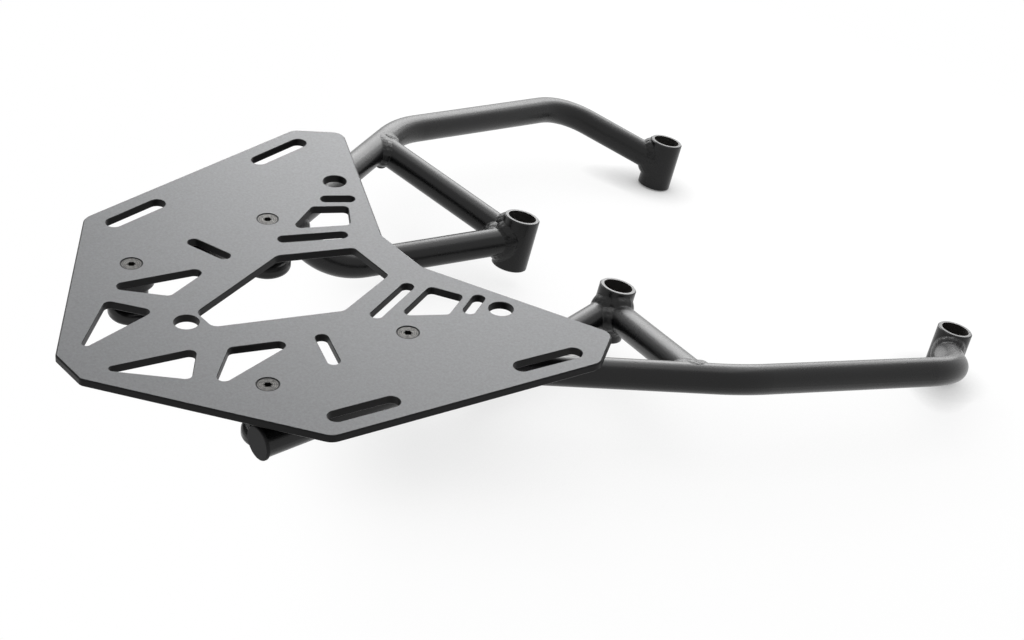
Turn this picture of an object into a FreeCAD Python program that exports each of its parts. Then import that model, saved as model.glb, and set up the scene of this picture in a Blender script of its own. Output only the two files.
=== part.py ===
import FreeCAD, Part
import math
import os

import Sketcher

os.makedirs("parts", exist_ok=True)

# A top case rack: a cut plate on two bent tubes that end in four open bushes.
# It is laid out with the plate level: x = 0 is the middle, +Y points to the bushes, and
# z = 0 is the plate's underside. A name ending in drop is a depth under that face.
# At the end the whole rack is stood on the floor, on its rear standoffs and outer bushes.

SIZES = {
    # Plate outline, right half
    "plate_thickness": 6.0,
    "outline_edge_break": 1.0,
    "cutout_edge_break": 0.5,
    "nose_half_width": 16.2,
    "nose_y": -93.2,
    "nose_radius": 5.0,
    "rear_corner_x": 157.2,
    "rear_corner_y": 9.1,
    "rear_corner_radius": 12.0,
    "front_corner_x": 186.0,
    "front_corner_y": 207.7,
    "wing_tip_x": 162.6,
    "wing_tip_y": 238.5,
    "wing_radius": 10.0,
    "notch_half_width": 25.0,
    "notch_y": 177.2,
    "notch_radius": 4.0,
    # Central opening, right half
    "opening_rear_half": 10.3,
    "opening_rear_y": 12.1,
    "opening_rear_radius": 6.5,
    "opening_waist_half": 41.3,
    "opening_waist_y": 98.2,
    "opening_waist_radius": 8.0,
    "opening_front_half": 21.1,
    "opening_front_y": 149.8,
    "opening_front_radius": 4.0,
    # Straight slots, each from the middle of one round end to the middle of the other
    "edge_slot_width": 12.2,
    "front_edge_slot_x": 166.5,
    "front_edge_slot_y": 199.5,
    "front_edge_slot_end_x": 160.2,
    "front_edge_slot_end_y": 160.8,
    "rear_edge_slot_x": 146.0,
    "rear_edge_slot_y": 62.8,
    "rear_edge_slot_end_x": 140.0,
    "rear_edge_slot_end_y": 24.0,
    "strap_slot_width": 8.8,
    "wing_slot_x": 78.8,
    "wing_slot_y": 185.5,
    "wing_slot_end_x": 87.2,
    "wing_slot_end_y": 171.5,
    "long_slot_x": 40.3,
    "long_slot_y": 152.3,
    "long_slot_end_x": 57.3,
    "long_slot_end_y": 114.3,
    "short_slot_x": 61.0,
    "short_slot_y": 66.3,
    "short_slot_end_x": 87.3,
    "short_slot_end_y": 57.8,
    # Four-sided window between the wing slot and the long slot
    "window_radius": 4.0,
    "window_front_x": 70.5,
    "window_front_y": 179.0,
    "window_inner_x": 48.5,
    "window_inner_y": 166.0,
    "window_rear_x": 66.5,
    "window_rear_y": 127.0,
    "window_outer_x": 83.5,
    "window_outer_y": 156.5,
    # Large triangle beside the central opening
    "triangle_radius": 4.7,
    "triangle_front_x": 53.8,
    "triangle_front_y": 53.3,
    "triangle_inner_x": 37.4,
    "triangle_inner_y": 7.7,
    "triangle_outer_x": 72.5,
    "triangle_outer_y": -28.3,
    # Long triangle towards the nose
    "nose_triangle_radius": 4.5,
    "nose_triangle_front_x": 26.8,
    "nose_triangle_front_y": -10.7,
    "nose_triangle_outer_x": 55.1,
    "nose_triangle_outer_y": -32.5,
    "nose_triangle_tip_x": 12.6,
    "nose_triangle_tip_y": -78.3,
    "nose_triangle_tip_radius": 2.8,
    # Three round holes, off the middle by the same amount
    "round_hole_diameter": 17.0,
    "round_hole_offset": -3.8,
    "rear_round_hole_y": 0.0,
    "front_round_hole_reach": 101.2,
    "front_round_hole_y": 191.0,
    # Countersunk screws and the standoffs under them
    "screw_x": 86.5,
    "front_screw_y": 119.5,
    "rear_screw_y": 6.3,
    "screw_diameter": 8.0,
    "screw_length": 25.0,
    "screw_head_diameter": 15.6,
    "screw_tip_chamfer": 0.8,
    "socket_flats": 5.0,
    "socket_depth": 3.0,
    "countersink_diameter": 16.4,
    "plate_hole_diameter": 8.6,
    "thread_gap": 0.05,
    "standoff_cap_diameter": 32.0,
    "standoff_cap_height": 9.0,
    "standoff_neck_diameter": 23.0,
    "standoff_foot_diameter": 35.0,
    "standoff_foot_height": 10.5,
    "standoff_foot_round": 4.0,
    "standoff_length": 36.5,
    # Tube, and the main tube's bends from the rear end to the outer bush
    "tube_diameter": 22.0,
    "tube_wall": 2.0,
    "rail_x": 108.6,
    "rail_drop": 19.6,
    "rail_rear_y": -14.0,
    "first_bend_y": 149.5,
    "first_bend_radius": 70.0,
    "second_bend_x": 207.3,
    "second_bend_y": 325.2,
    "second_bend_drop": 40.1,
    "second_bend_radius": 100.0,
    "third_bend_x": 237.2,
    "third_bend_y": 522.9,
    "third_bend_drop": 88.6,
    "third_bend_radius": 60.0,
    # Brace and inner tube
    "brace_setback": 35.0,
    "inner_bend_x": 92.2,
    "inner_bend_y": 183.0,
    "inner_bend_drop": 61.0,
    "inner_bend_radius": 60.0,
    "inner_tube_rise": 2.3,
    # Bushes, placed by the middle of their upper rim
    "bush_diameter": 28.0,
    "bush_bore": 22.0,
    "bush_length": 42.0,
    "bush_chamfer": 0.8,
    "bush_lean": 14.0,
    "outer_bush_x": 173.9,
    "outer_bush_y": 594.2,
    "outer_bush_drop": 112.8,
    "inner_bush_x": 58.0,
    "inner_bush_y": 336.6,
    "inner_bush_drop": 47.3,
    # Plug in the rear end of the main tube
    "plug_lip": 1.2,
    "plug_head": 2.2,
    "plug_round": 1.0,
    "plug_depth": 12.0,
    "plug_gap": 0.1,
    # Peg under the joint of brace and main tube, placed from the middle of that joint
    "peg_diameter": 9.0,
    "peg_inset": 9.6,
    "peg_setback": 5.3,
    "peg_reach": 12.4,
    "peg_length": 11.0,
    "peg_chamfer": 1.0,
}

doc = FreeCAD.newDocument("TopCaseRack")
sheet = doc.addObject("Spreadsheet::Sheet", "Sizes")


def fill_sheet():
    """One row for each size: its name, its value and the value's alias."""
    for row, (name, value) in enumerate(SIZES.items(), start=1):
        sheet.set(f"A{row}", name)
        sheet.set(f"B{row}", str(value))
        sheet.setAlias(f"B{row}", name)
    doc.recompute()


def size(name):
    """A size as the sheet holds it."""
    return float(sheet.get(name))


def bind(item, setting, rule):
    """Tie a setting to the sheet. In a rule, a size is written with # before its name."""
    item.setExpression(setting, rule.replace("#", "Sizes."))


def vector(x, y, z):
    return FreeCAD.Vector(x, y, z)


# Sketches

def new_body(name):
    body = doc.addObject("PartDesign::Body", name)
    body.Label = name
    return body


def origin_plane(body, role):
    return next(item for item in body.Origin.OriginFeatures if item.Role == role)


def new_sketch(body, name, role="XY_Plane"):
    sketch = body.newObject("Sketcher::SketchObject", name)
    sketch.AttachmentSupport = [(origin_plane(body, role), "")]
    sketch.MapMode = "FlatFace"
    return sketch


def constrain(sketch, *terms, rule=None):
    """Add one constraint, with its value tied to a rule."""
    index = sketch.addConstraint(Sketcher.Constraint(*terms))
    if rule:
        bind(sketch, f"Constraints[{index}]", rule)


def fix_point(sketch, line, end, across, along):
    """Hold a point at two named distances from the sketch's origin."""
    constrain(sketch, "DistanceX", -1, 1, line, end, size(across), rule=f"#{across}")
    constrain(sketch, "DistanceY", -1, 1, line, end, size(along), rule=f"#{along}")


def closed_lines(sketch, corners):
    """Lines from corner to corner and back to the first. Returns their indices."""
    points = [vector(across, along, 0) for across, along in corners]
    lines = [
        sketch.addGeometry(Part.LineSegment(start, stop))
        for start, stop in zip(points, points[1:] + points[:1])
    ]
    for line, following in zip(lines, lines[1:] + lines[:1]):
        constrain(sketch, "Coincident", line, 2, following, 1)
    return lines


def corner_names(stem, *places):
    """The pairs of size names for corners such as window_front."""
    return [(f"{stem}_{place}_x", f"{stem}_{place}_y") for place in places]


def polygon(sketch, names):
    """A closed outline with a named size for each coordinate."""
    lines = closed_lines(sketch, [(size(across), size(along)) for across, along in names])
    for line, (across, along) in zip(lines, names):
        fix_point(sketch, line, 1, across, along)


def mirrored_polygon(sketch, names):
    """An outline whose right half is named. Each left corner mirrors one of them."""
    right = [(size(across), size(along)) for across, along in names]
    left = [(-across, along) for across, along in reversed(right)]
    lines = closed_lines(sketch, right + left)
    for line, (across, along) in zip(lines, names):
        fix_point(sketch, line, 1, across, along)
    for line, twin in zip(lines[: len(names)], reversed(lines[len(names):])):
        constrain(sketch, "Symmetric", line, 1, twin, 1, -2)


def slot(sketch, stem, width):
    """A straight slot with round ends, from STEM_x, STEM_y to STEM_end_x, STEM_end_y."""
    start = vector(size(f"{stem}_x"), size(f"{stem}_y"), 0)
    stop = vector(size(f"{stem}_end_x"), size(f"{stem}_end_y"), 0)
    radius = size(width) / 2
    along = (stop - start).normalize()
    side = vector(-along.y, along.x, 0) * radius
    turn = math.atan2(side.y, side.x)
    up = vector(0, 0, 1)
    ends = [
        sketch.addGeometry(Part.ArcOfCircle(Part.Circle(start, up, radius), turn, turn + math.pi)),
        sketch.addGeometry(Part.ArcOfCircle(Part.Circle(stop, up, radius), turn - math.pi, turn)),
    ]
    sides = [
        sketch.addGeometry(Part.LineSegment(start - side, stop - side)),
        sketch.addGeometry(Part.LineSegment(stop + side, start + side)),
    ]
    constrain(sketch, "Tangent", ends[0], 2, sides[0], 1)
    constrain(sketch, "Tangent", sides[0], 2, ends[1], 1)
    constrain(sketch, "Tangent", ends[1], 2, sides[1], 1)
    constrain(sketch, "Tangent", sides[1], 2, ends[0], 1)
    constrain(sketch, "Radius", ends[0], radius, rule=f"#{width} / 2")
    fix_point(sketch, ends[0], 3, f"{stem}_x", f"{stem}_y")
    fix_point(sketch, ends[1], 3, f"{stem}_end_x", f"{stem}_end_y")


def circle(sketch, across, along, diameter):
    """A circle placed by two rules. Each rule gives a distance from the origin."""
    place = vector(evaluate(across), evaluate(along), 0)
    index = sketch.addGeometry(Part.Circle(place, vector(0, 0, 1), evaluate(diameter) / 2))
    constrain(sketch, "DistanceX", -1, 1, index, 3, place.x, rule=across)
    constrain(sketch, "DistanceY", -1, 1, index, 3, place.y, rule=along)
    constrain(sketch, "Diameter", index, evaluate(diameter), rule=diameter)


def centred_circle(sketch, diameter):
    """A circle about the sketch's origin."""
    index = sketch.addGeometry(Part.Circle(vector(0, 0, 0), vector(0, 0, 1), evaluate(diameter) / 2))
    constrain(sketch, "Coincident", index, 3, -1, 1)
    constrain(sketch, "Diameter", index, evaluate(diameter), rule=diameter)


def evaluate(rule):
    """The present value of a rule."""
    return float(sheet.evalExpression(rule.replace("#", "")))


# Features

def pad(body, sketch, length, down=False):
    feature = body.newObject("PartDesign::Pad", f"{sketch.Name}_pad")
    feature.Profile = sketch
    feature.Reversed = down
    bind(feature, "Length", length)
    doc.recompute()
    return feature


def must_cut(before, feature):
    """Recompute, and stop if a cut took nothing away."""
    doc.recompute()
    if feature.Shape.Volume >= before - 1e-3:
        raise RuntimeError(f"{feature.Name} cuts nothing")
    return feature


def through_pocket(body, sketch):
    before = body.Tip.Shape.Volume
    feature = body.newObject("PartDesign::Pocket", f"{sketch.Name}_pocket")
    feature.Profile = sketch
    feature.Type = "ThroughAll"
    feature.Midplane = True
    return must_cut(before, feature)


def revolve(body, sketch):
    feature = body.newObject("PartDesign::Revolution", f"{sketch.Name}_revolution")
    feature.Profile = sketch
    feature.ReferenceAxis = (sketch, ["V_Axis"])
    feature.Angle = 360
    doc.recompute()
    return feature


def soften(body, kind, edges, rule, name):
    """A fillet or chamfer on the edges of the body's last feature."""
    base = body.Tip
    chosen = [f"Edge{number}" for number, edge in enumerate(base.Shape.Edges, start=1) if edges(edge)]
    if not chosen:
        raise RuntimeError(f"{name} finds no edge")
    feature = body.newObject(f"PartDesign::{kind}", name)
    feature.Base = (base, chosen)
    bind(feature, "Radius" if kind == "Fillet" else "Size", rule)
    doc.recompute()
    return feature


def upright_at(corners):
    """Picks the upright edges at these corners, on either side of the middle."""
    places = [(size(across), size(along)) for across, along in corners]

    def picks(edge):
        first, last = edge.Vertexes[0].Point, edge.Vertexes[-1].Point
        if abs(first.x - last.x) + abs(first.y - last.y) > 1e-6:
            return False
        return any(math.hypot(abs(first.x) - x, first.y - y) < 1e-4 for x, y in places)

    return picks


def rim_at(level, radius=None):
    """Picks the edges that lie flat at this height, or only the rim of this radius."""

    def picks(edge):
        box = edge.BoundBox
        if abs(box.ZMin - level) > 1e-6 or abs(box.ZMax - level) > 1e-6:
            return False
        if radius is None:
            return True
        return hasattr(edge.Curve, "Radius") and abs(edge.Curve.Radius - radius) < 1e-6

    return picks


# Plate

def plate_rim(body, level, outer):
    """Picks the plate's outer rim at this height, or else the rims of its cut-outs."""
    lies_flat = [face for face in body.Tip.Shape.Faces if all(map(rim_at(level), face.Edges))]
    outline = lies_flat[0].OuterWire.Edges
    at_level = rim_at(level)

    def picks(edge):
        return at_level(edge) and any(edge.isSame(other) for other in outline) == outer

    return picks


def plate_openings(body):
    """The cut-outs of the right half, and their mirror images."""
    slots = new_sketch(body, "slots")
    for stem in ("front_edge_slot", "rear_edge_slot"):
        slot(slots, stem, "edge_slot_width")
    for stem in ("wing_slot", "long_slot", "short_slot"):
        slot(slots, stem, "strap_slot_width")
    windows = new_sketch(body, "windows")
    polygon(windows, corner_names("window", "front", "inner", "rear", "outer"))
    polygon(windows, corner_names("triangle", "front", "inner", "outer"))
    polygon(windows, corner_names("nose_triangle", "front", "outer", "tip"))
    pockets = [through_pocket(body, slots), through_pocket(body, windows)]
    mirror = body.newObject("PartDesign::Mirrored", "left_openings")
    mirror.Originals = pockets
    mirror.MirrorPlane = (origin_plane(body, "YZ_Plane"), [""])
    before = pockets[-1].Shape.Volume
    body.Tip = mirror
    must_cut(before, mirror)


def round_plate_corners(body):
    """The rounded corners of the outline and of each cut-out."""
    opening = [(f"opening_{place}_half", f"opening_{place}_y") for place in ("rear", "waist", "front")]
    rounds = {
        "nose_radius": [("nose_half_width", "nose_y")],
        "rear_corner_radius": corner_names("rear", "corner"),
        "wing_radius": corner_names("front", "corner") + corner_names("wing", "tip"),
        "notch_radius": [("notch_half_width", "notch_y")],
        "opening_rear_radius": opening[:1],
        "opening_waist_radius": opening[1:2],
        "opening_front_radius": opening[2:],
        "window_radius": corner_names("window", "front", "inner", "rear", "outer"),
        "triangle_radius": corner_names("triangle", "front", "inner", "outer"),
        "nose_triangle_radius": corner_names("nose_triangle", "front", "outer"),
        "nose_triangle_tip_radius": corner_names("nose_triangle", "tip"),
    }
    for radius, corners in rounds.items():
        soften(body, "Fillet", upright_at(corners), f"#{radius}", f"{radius}_fillet")


def plate_holes(body):
    """Three round holes, broken edges, and four countersunk holes for the screws."""
    holes = new_sketch(body, "round_holes")
    circle(holes, "#round_hole_offset", "#rear_round_hole_y", "#round_hole_diameter")
    for side in ("+", "-"):
        across = f"#round_hole_offset {side} #front_round_hole_reach"
        circle(holes, across, "#front_round_hole_y", "#round_hole_diameter")
    through_pocket(body, holes)
    for level in (0, size("plate_thickness")):
        for outer, width in ((True, "#outline_edge_break"), (False, "#cutout_edge_break")):
            soften(body, "Chamfer", plate_rim(body, level, outer), width, "broken_edges")
    before = body.Tip.Shape.Volume
    screws = new_sketch(body, "screw_holes")
    bind(screws, ".AttachmentOffset.Base.z", "#plate_thickness")
    for row in ("front", "rear"):
        for side in ("", "-"):
            circle(screws, f"{side}#screw_x", f"#{row}_screw_y", "#plate_hole_diameter")
    doc.recompute()
    hole = body.newObject("PartDesign::Hole", "countersunk_holes")
    hole.Profile = screws
    doc.recompute()
    hole.ThreadType = "None"
    hole.DepthType = "ThroughAll"
    hole.HoleCutType = "Countersink"
    hole.HoleCutCustomValues = True
    hole.HoleCutCountersinkAngle = 90
    bind(hole, "Diameter", "#plate_hole_diameter")
    bind(hole, "HoleCutDiameter", "#countersink_diameter")
    must_cut(before, hole)


def top_plate():
    body = new_body("top_plate")
    outline = new_sketch(body, "outline")
    corners = [("nose_half_width", "nose_y")] + corner_names("rear", "corner")
    corners += corner_names("front", "corner") + corner_names("wing", "tip")
    mirrored_polygon(outline, corners + [("notch_half_width", "notch_y")])
    pad(body, outline, "#plate_thickness")
    opening = new_sketch(body, "opening")
    places = ("rear", "waist", "front")
    mirrored_polygon(opening, [(f"opening_{place}_half", f"opening_{place}_y") for place in places])
    through_pocket(body, opening)
    plate_openings(body)
    round_plate_corners(body)
    plate_holes(body)
    return body


# Screws, standoffs and pegs

def screw(name, row):
    """A countersunk screw, turned about its axis, with a hexagon socket."""
    body = new_body(name)
    head, shank = size("screw_head_diameter") / 2, size("screw_diameter") / 2 - size("thread_gap")
    tip = size("screw_tip_chamfer")
    profile = new_sketch(body, f"{name}_profile", "XZ_Plane")
    lines = closed_lines(profile, [
        (0, 0), (head, 0), (shank, shank - head), (shank, tip - size("screw_length")),
        (shank - tip, -size("screw_length")), (0, -size("screw_length")),
    ])
    constrain(profile, "Coincident", lines[0], 1, -1, 1)
    constrain(profile, "Horizontal", lines[0])
    constrain(profile, "Vertical", lines[2])
    constrain(profile, "Horizontal", lines[4])
    constrain(profile, "Vertical", lines[5])
    constrain(profile, "DistanceX", lines[0], 1, lines[0], 2, head, rule="#screw_head_diameter / 2")
    shank_rule = "#screw_diameter / 2 - #thread_gap"
    constrain(profile, "DistanceX", -1, 1, lines[2], 1, shank, rule=shank_rule)
    drop_rule = f"{shank_rule} - #screw_head_diameter / 2"
    constrain(profile, "DistanceY", -1, 1, lines[2], 1, shank - head, rule=drop_rule)
    constrain(profile, "DistanceX", lines[3], 2, lines[3], 1, tip, rule="#screw_tip_chamfer")
    constrain(profile, "DistanceY", lines[3], 2, lines[3], 1, tip, rule="#screw_tip_chamfer")
    constrain(profile, "DistanceY", -1, 1, lines[4], 1, -size("screw_length"), rule="-#screw_length")
    revolve(body, profile)
    socket = new_sketch(body, f"{name}_socket")
    hexagon(socket, "socket_flats")
    before = body.Tip.Shape.Volume
    pocket = body.newObject("PartDesign::Pocket", f"{name}_pocket")
    pocket.Profile = socket
    bind(pocket, "Length", "#socket_depth")
    must_cut(before, pocket)
    sunk = (size("countersink_diameter") - size("screw_head_diameter")) / 2
    place = vector(size("screw_x"), size(f"{row}_screw_y"), size("plate_thickness") - sunk)
    body.Placement = FreeCAD.Placement(place, FreeCAD.Rotation())
    return body


def hexagon(sketch, flats):
    """Six equal sides about the origin, with a named distance across flats."""
    corner = size(flats) / math.sqrt(3)
    turns = [math.radians(60 * step) for step in range(6)]
    lines = closed_lines(sketch, [(corner * math.cos(a), corner * math.sin(a)) for a in turns])
    ring = sketch.addGeometry(Part.Circle(vector(0, 0, 0), vector(0, 0, 1), corner), True)
    constrain(sketch, "Coincident", ring, 3, -1, 1)
    for line in lines:
        constrain(sketch, "PointOnObject", line, 1, ring)
    for line in lines[1:]:
        constrain(sketch, "Equal", lines[0], line)
    constrain(sketch, "PointOnObject", lines[0], 1, -1)
    constrain(sketch, "Radius", ring, corner, rule=f"#{flats} / sqrt(3)")


def standoff(name, row, rail):
    """A turned spacer: a wide cap under the plate, a neck beside the main tube and a
    round-edged foot, with a tapped bore. It is hollowed where the main tube lies in it."""
    body = new_body(f"{name}_blank")
    bore = size("screw_diameter") / 2
    cap, neck, foot = (size(f"standoff_{part}_diameter") / 2 for part in ("cap", "neck", "foot"))
    shoulder, end = -size("standoff_cap_height"), -size("standoff_length")
    ankle = end + size("standoff_foot_height")
    profile = new_sketch(body, f"{name}_profile", "XZ_Plane")
    lines = closed_lines(profile, [
        (bore, 0), (cap, 0), (cap, shoulder), (neck, shoulder),
        (neck, ankle), (foot, ankle), (foot, end), (bore, end),
    ])
    for level_line, upright_line in zip(lines[0::2], lines[1::2]):
        constrain(profile, "Horizontal", level_line)
        constrain(profile, "Vertical", upright_line)
    constrain(profile, "PointOnObject", lines[0], 1, -1)
    constrain(profile, "DistanceX", -1, 1, lines[0], 1, bore, rule="#screw_diameter / 2")
    for part, line, radius in (("cap", lines[1], cap), ("neck", lines[3], neck), ("foot", lines[5], foot)):
        constrain(profile, "DistanceX", -1, 1, line, 1, radius, rule=f"#standoff_{part}_diameter / 2")
    constrain(profile, "DistanceY", -1, 1, lines[2], 1, shoulder, rule="-#standoff_cap_height")
    ankle_rule = "#standoff_foot_height - #standoff_length"
    constrain(profile, "DistanceY", -1, 1, lines[4], 1, ankle, rule=ankle_rule)
    constrain(profile, "DistanceY", -1, 1, lines[6], 1, end, rule="-#standoff_length")
    revolve(body, profile)
    for level in (ankle, end):
        soften(body, "Fillet", rim_at(level, foot), "#standoff_foot_round", f"{name}_foot_round")
    body.Placement.Base = vector(size("screw_x"), size(f"{row}_screw_y"), 0)
    return cut(name, body, [rail])


def peg(name, joint, covers):
    """A short round peg that hangs from the joint of brace and main tube."""
    body = new_body(f"{name}_blank")
    rim = new_sketch(body, f"{name}_rim")
    centred_circle(rim, "#peg_diameter")
    pad(body, rim, "#peg_length")
    soften(body, "Chamfer", rim_at(0), "#peg_chamfer", f"{name}_chamfer")
    offset = vector(size("peg_inset"), size("peg_setback"), size("peg_reach"))
    body.Placement.Base = joint - offset
    return cut(name, body, covers)


# Tubes and bushes

def bend_arc(before, corner, after, radius):
    """The arc of this radius that touches both runs at a corner: start, middle, end."""
    back = (before - corner).normalize()
    on = (after - corner).normalize()
    half = back.getAngle(on) / 2
    reach = radius / math.tan(half)
    centre = corner + (back + on).normalize() * (radius / math.sin(half))
    middle = centre + (corner - centre).normalize() * radius
    return corner + back * reach, middle, corner + on * reach


def bent_path(name, points, radii):
    """A wire of straight runs joined by tangent arcs."""
    edges = []
    start = points[0]
    for before, corner, after, radius in zip(points, points[1:], points[2:], radii):
        first, middle, last = bend_arc(before, corner, after, radius)
        edges.append(Part.LineSegment(start, first).toShape())
        edges.append(Part.Arc(first, middle, last).toShape())
        start = last
    edges.append(Part.LineSegment(start, points[-1]).toShape())
    path = doc.addObject("Part::Feature", f"{name}_path")
    path.Shape = Part.Wire(edges)
    return path


def sweep(name, path, diameter):
    """A round bar along a path."""
    start = path.Shape.Edges[0]
    profile = doc.addObject("Part::Circle", f"{name}_section")
    bind(profile, "Radius", f"({diameter}) / 2")
    turn = FreeCAD.Rotation(vector(0, 0, 1), start.tangentAt(start.FirstParameter))
    profile.Placement = FreeCAD.Placement(start.valueAt(start.FirstParameter), turn)
    bar = doc.addObject("Part::Sweep", name)
    bar.Sections = [profile]
    bar.Spine = (path, [f"Edge{number}" for number in range(1, len(path.Shape.Edges) + 1)])
    bar.Solid = True
    doc.recompute()
    return bar


def cut(name, base, tools):
    """One solid with others taken out of it."""
    tool = tools[0]
    if len(tools) > 1:
        tool = doc.addObject("Part::MultiFuse", f"{name}_tools")
        tool.Shapes = tools
    result = doc.addObject("Part::Cut", name)
    result.Base = base
    result.Tool = tool
    result.Label = name
    doc.recompute()
    return result


def bar_and_bore(name, points, radii):
    """The full round bar that a tube fills, and the bar that its bore takes out."""
    path = bent_path(name, points, radii)
    bar = sweep(f"{name}_bar", path, "#tube_diameter")
    bore = sweep(f"{name}_hollow", path, "#tube_diameter - 2 * #tube_wall")
    return bar, bore


def bush_axis():
    """The direction from a bush's lower rim to its upper rim."""
    lean = math.radians(size("bush_lean"))
    return vector(0, math.sin(lean), math.cos(lean))


def bush_rim(stem):
    return vector(size(f"{stem}_bush_x"), size(f"{stem}_bush_y"), -size(f"{stem}_bush_drop"))


def bush_middle(stem):
    return bush_rim(stem) - bush_axis() * (size("bush_length") / 2)


def bush(name, stem):
    """A short open tube with broken rims."""
    body = new_body(name)
    ring = new_sketch(body, f"{name}_ring")
    centred_circle(ring, "#bush_diameter")
    centred_circle(ring, "#bush_bore")
    pad(body, ring, "#bush_length", down=True)
    for level in (0, -size("bush_length")):
        rims = rim_at(level, size("bush_diameter") / 2)
        soften(body, "Chamfer", rims, "#bush_chamfer", f"{name}_chamfer")
    body.Placement = FreeCAD.Placement(bush_rim(stem), FreeCAD.Rotation(vector(0, 0, 1), bush_axis()))
    return body


def bush_cutter(name, stem):
    """The bar that a bush fills, longer than the bush, which shapes the tubes' ends."""
    bar = doc.addObject("Part::Cylinder", name)
    bind(bar, "Radius", "#bush_diameter / 2")
    bind(bar, "Height", "2 * #bush_length")
    base = bush_middle(stem) - bush_axis() * size("bush_length")
    bar.Placement = FreeCAD.Placement(base, FreeCAD.Rotation(vector(0, 0, 1), bush_axis()))
    return bar


def plug():
    """A plug for the tube's open rear end: a round head and a spigot in the bore."""
    body = new_body("tube_plug_right")
    head = new_sketch(body, "plug_head_rim")
    centred_circle(head, "#tube_diameter + 2 * #plug_lip")
    pad(body, head, "#plug_head")
    spigot = new_sketch(body, "plug_spigot_rim")
    centred_circle(spigot, "#tube_diameter - 2 * #tube_wall - 2 * #plug_gap")
    pad(body, spigot, "#plug_depth", down=True)
    rims = rim_at(size("plug_head"), size("tube_diameter") / 2 + size("plug_lip"))
    soften(body, "Fillet", rims, "#plug_round", "plug_round_fillet")
    place = vector(size("rail_x"), size("rail_rear_y"), -size("rail_drop"))
    body.Placement = FreeCAD.Placement(place, FreeCAD.Rotation(vector(0, 0, 1), vector(0, -1, 0)))
    return body


def main_tube_points():
    """The main tube's corners, from its rear end to the middle of the outer bush."""
    rail_x, rail_z = size("rail_x"), -size("rail_drop")
    points = [vector(rail_x, size("rail_rear_y"), rail_z), vector(rail_x, size("first_bend_y"), rail_z)]
    for stem in ("second_bend", "third_bend"):
        points.append(vector(size(f"{stem}_x"), size(f"{stem}_y"), -size(f"{stem}_drop")))
    return points + [bush_middle("outer")]


def right_tubes():
    """The three tubes of the right side, each shaped to what it is welded to."""
    corners = main_tube_points()
    radii = [size(f"{stem}_bend_radius") for stem in ("first", "second", "third")]
    main_bar, main_bore = bar_and_bore("main_tube", corners, radii)
    outer_bar = bush_cutter("outer_bush_bar", "outer")
    inner_bar = bush_cutter("inner_bush_bar", "inner")
    main = cut("main_tube_right", main_bar, [main_bore, outer_bar])

    joint = bend_arc(*corners[:3], radii[0])[1]
    bend = vector(size("inner_bend_x"), size("inner_bend_y"), -size("inner_bend_drop"))
    inner_points = [bush_middle("inner") + bush_axis() * size("inner_tube_rise"), bend, joint]
    inner_all, inner_bore = bar_and_bore("inner_tube", inner_points, [size("inner_bend_radius")])
    inner = cut("inner_tube_right", inner_all, [inner_bore, inner_bar, main_bar])

    back = (corners[1] - corners[2]).normalize()
    brace_end = corners[2] + back * size("brace_setback")
    brace_bar, brace_bore = bar_and_bore("brace_tube", [bush_middle("inner"), brace_end], [])
    brace = cut("brace_tube_right", brace_bar, [brace_bore, inner_bar, inner_all, main_bar])
    return [main, brace, inner], [main_bar, brace_bar], brace_end


# Assembly

def mirror_image(source, name):
    """The left-hand twin of a right-hand piece."""
    twin = doc.addObject("Part::Mirroring", name)
    twin.Source = source
    twin.Base = vector(0, 0, 0)
    twin.Normal = vector(1, 0, 0)
    twin.Label = name
    return twin


def standing_place(pieces):
    """Tip the rack onto the floor and bring the origin under the middle of its box.

    The floor touches the rounded edge of the rear standoff's foot, seen from the side as
    a circle, and the front point of the outer bush's lower rim."""
    edge = size("standoff_foot_round")
    round_y = size("rear_screw_y") - size("standoff_foot_diameter") / 2 + edge
    round_z = edge - size("standoff_length")
    lean = math.radians(size("bush_lean"))
    reach = size("bush_diameter") / 2 - size("bush_chamfer")
    rim = bush_middle("outer") - bush_axis() * (size("bush_length") / 2)
    rim = rim + vector(0, math.cos(lean), -math.sin(lean)) * reach
    slope = math.atan2(round_z - rim.z, rim.y - round_y)
    tip = math.degrees(slope - math.asin(edge / math.hypot(rim.y - round_y, rim.z - round_z)))
    turn = FreeCAD.Placement(vector(0, 0, 0), FreeCAD.Rotation(vector(1, 0, 0), tip))
    tipped = Part.makeCompound([piece.Shape.transformed(turn.toMatrix()) for piece in pieces])
    box = tipped.optimalBoundingBox()
    print("tipped by", round(tip, 2), "degrees")
    return FreeCAD.Placement(vector(0, -(box.YMin + box.YMax) / 2, -box.ZMin), turn.Rotation)


def build():
    plate = top_plate()
    tubes, bars, brace_end = right_tubes()
    standoffs = [standoff(f"{row}_standoff_right", row, bars[0]) for row in ("front", "rear")]
    bushes = [bush("outer_bush_right", "outer"), bush("inner_bush_right", "inner")]
    right = tubes + standoffs + bushes + [plug(), peg("peg_right", brace_end, bars)]
    left = [mirror_image(piece, piece.Label.replace("right", "left")) for piece in right]
    screws = [screw(f"{row}_screw", row) for row in ("front", "rear")]
    twins = [mirror_image(piece, f"{piece.Label}_left") for piece in screws]
    group = doc.addObject("Part::Compound", "plate_screws")
    group.Links = screws + twins
    group.Label = "plate_screws"
    doc.recompute()
    place = standing_place([plate, group] + right + left)
    for piece in [plate, group] + right:
        piece.Placement = place.multiply(piece.Placement)
    doc.recompute()
    return [plate, group] + right + left


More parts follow.
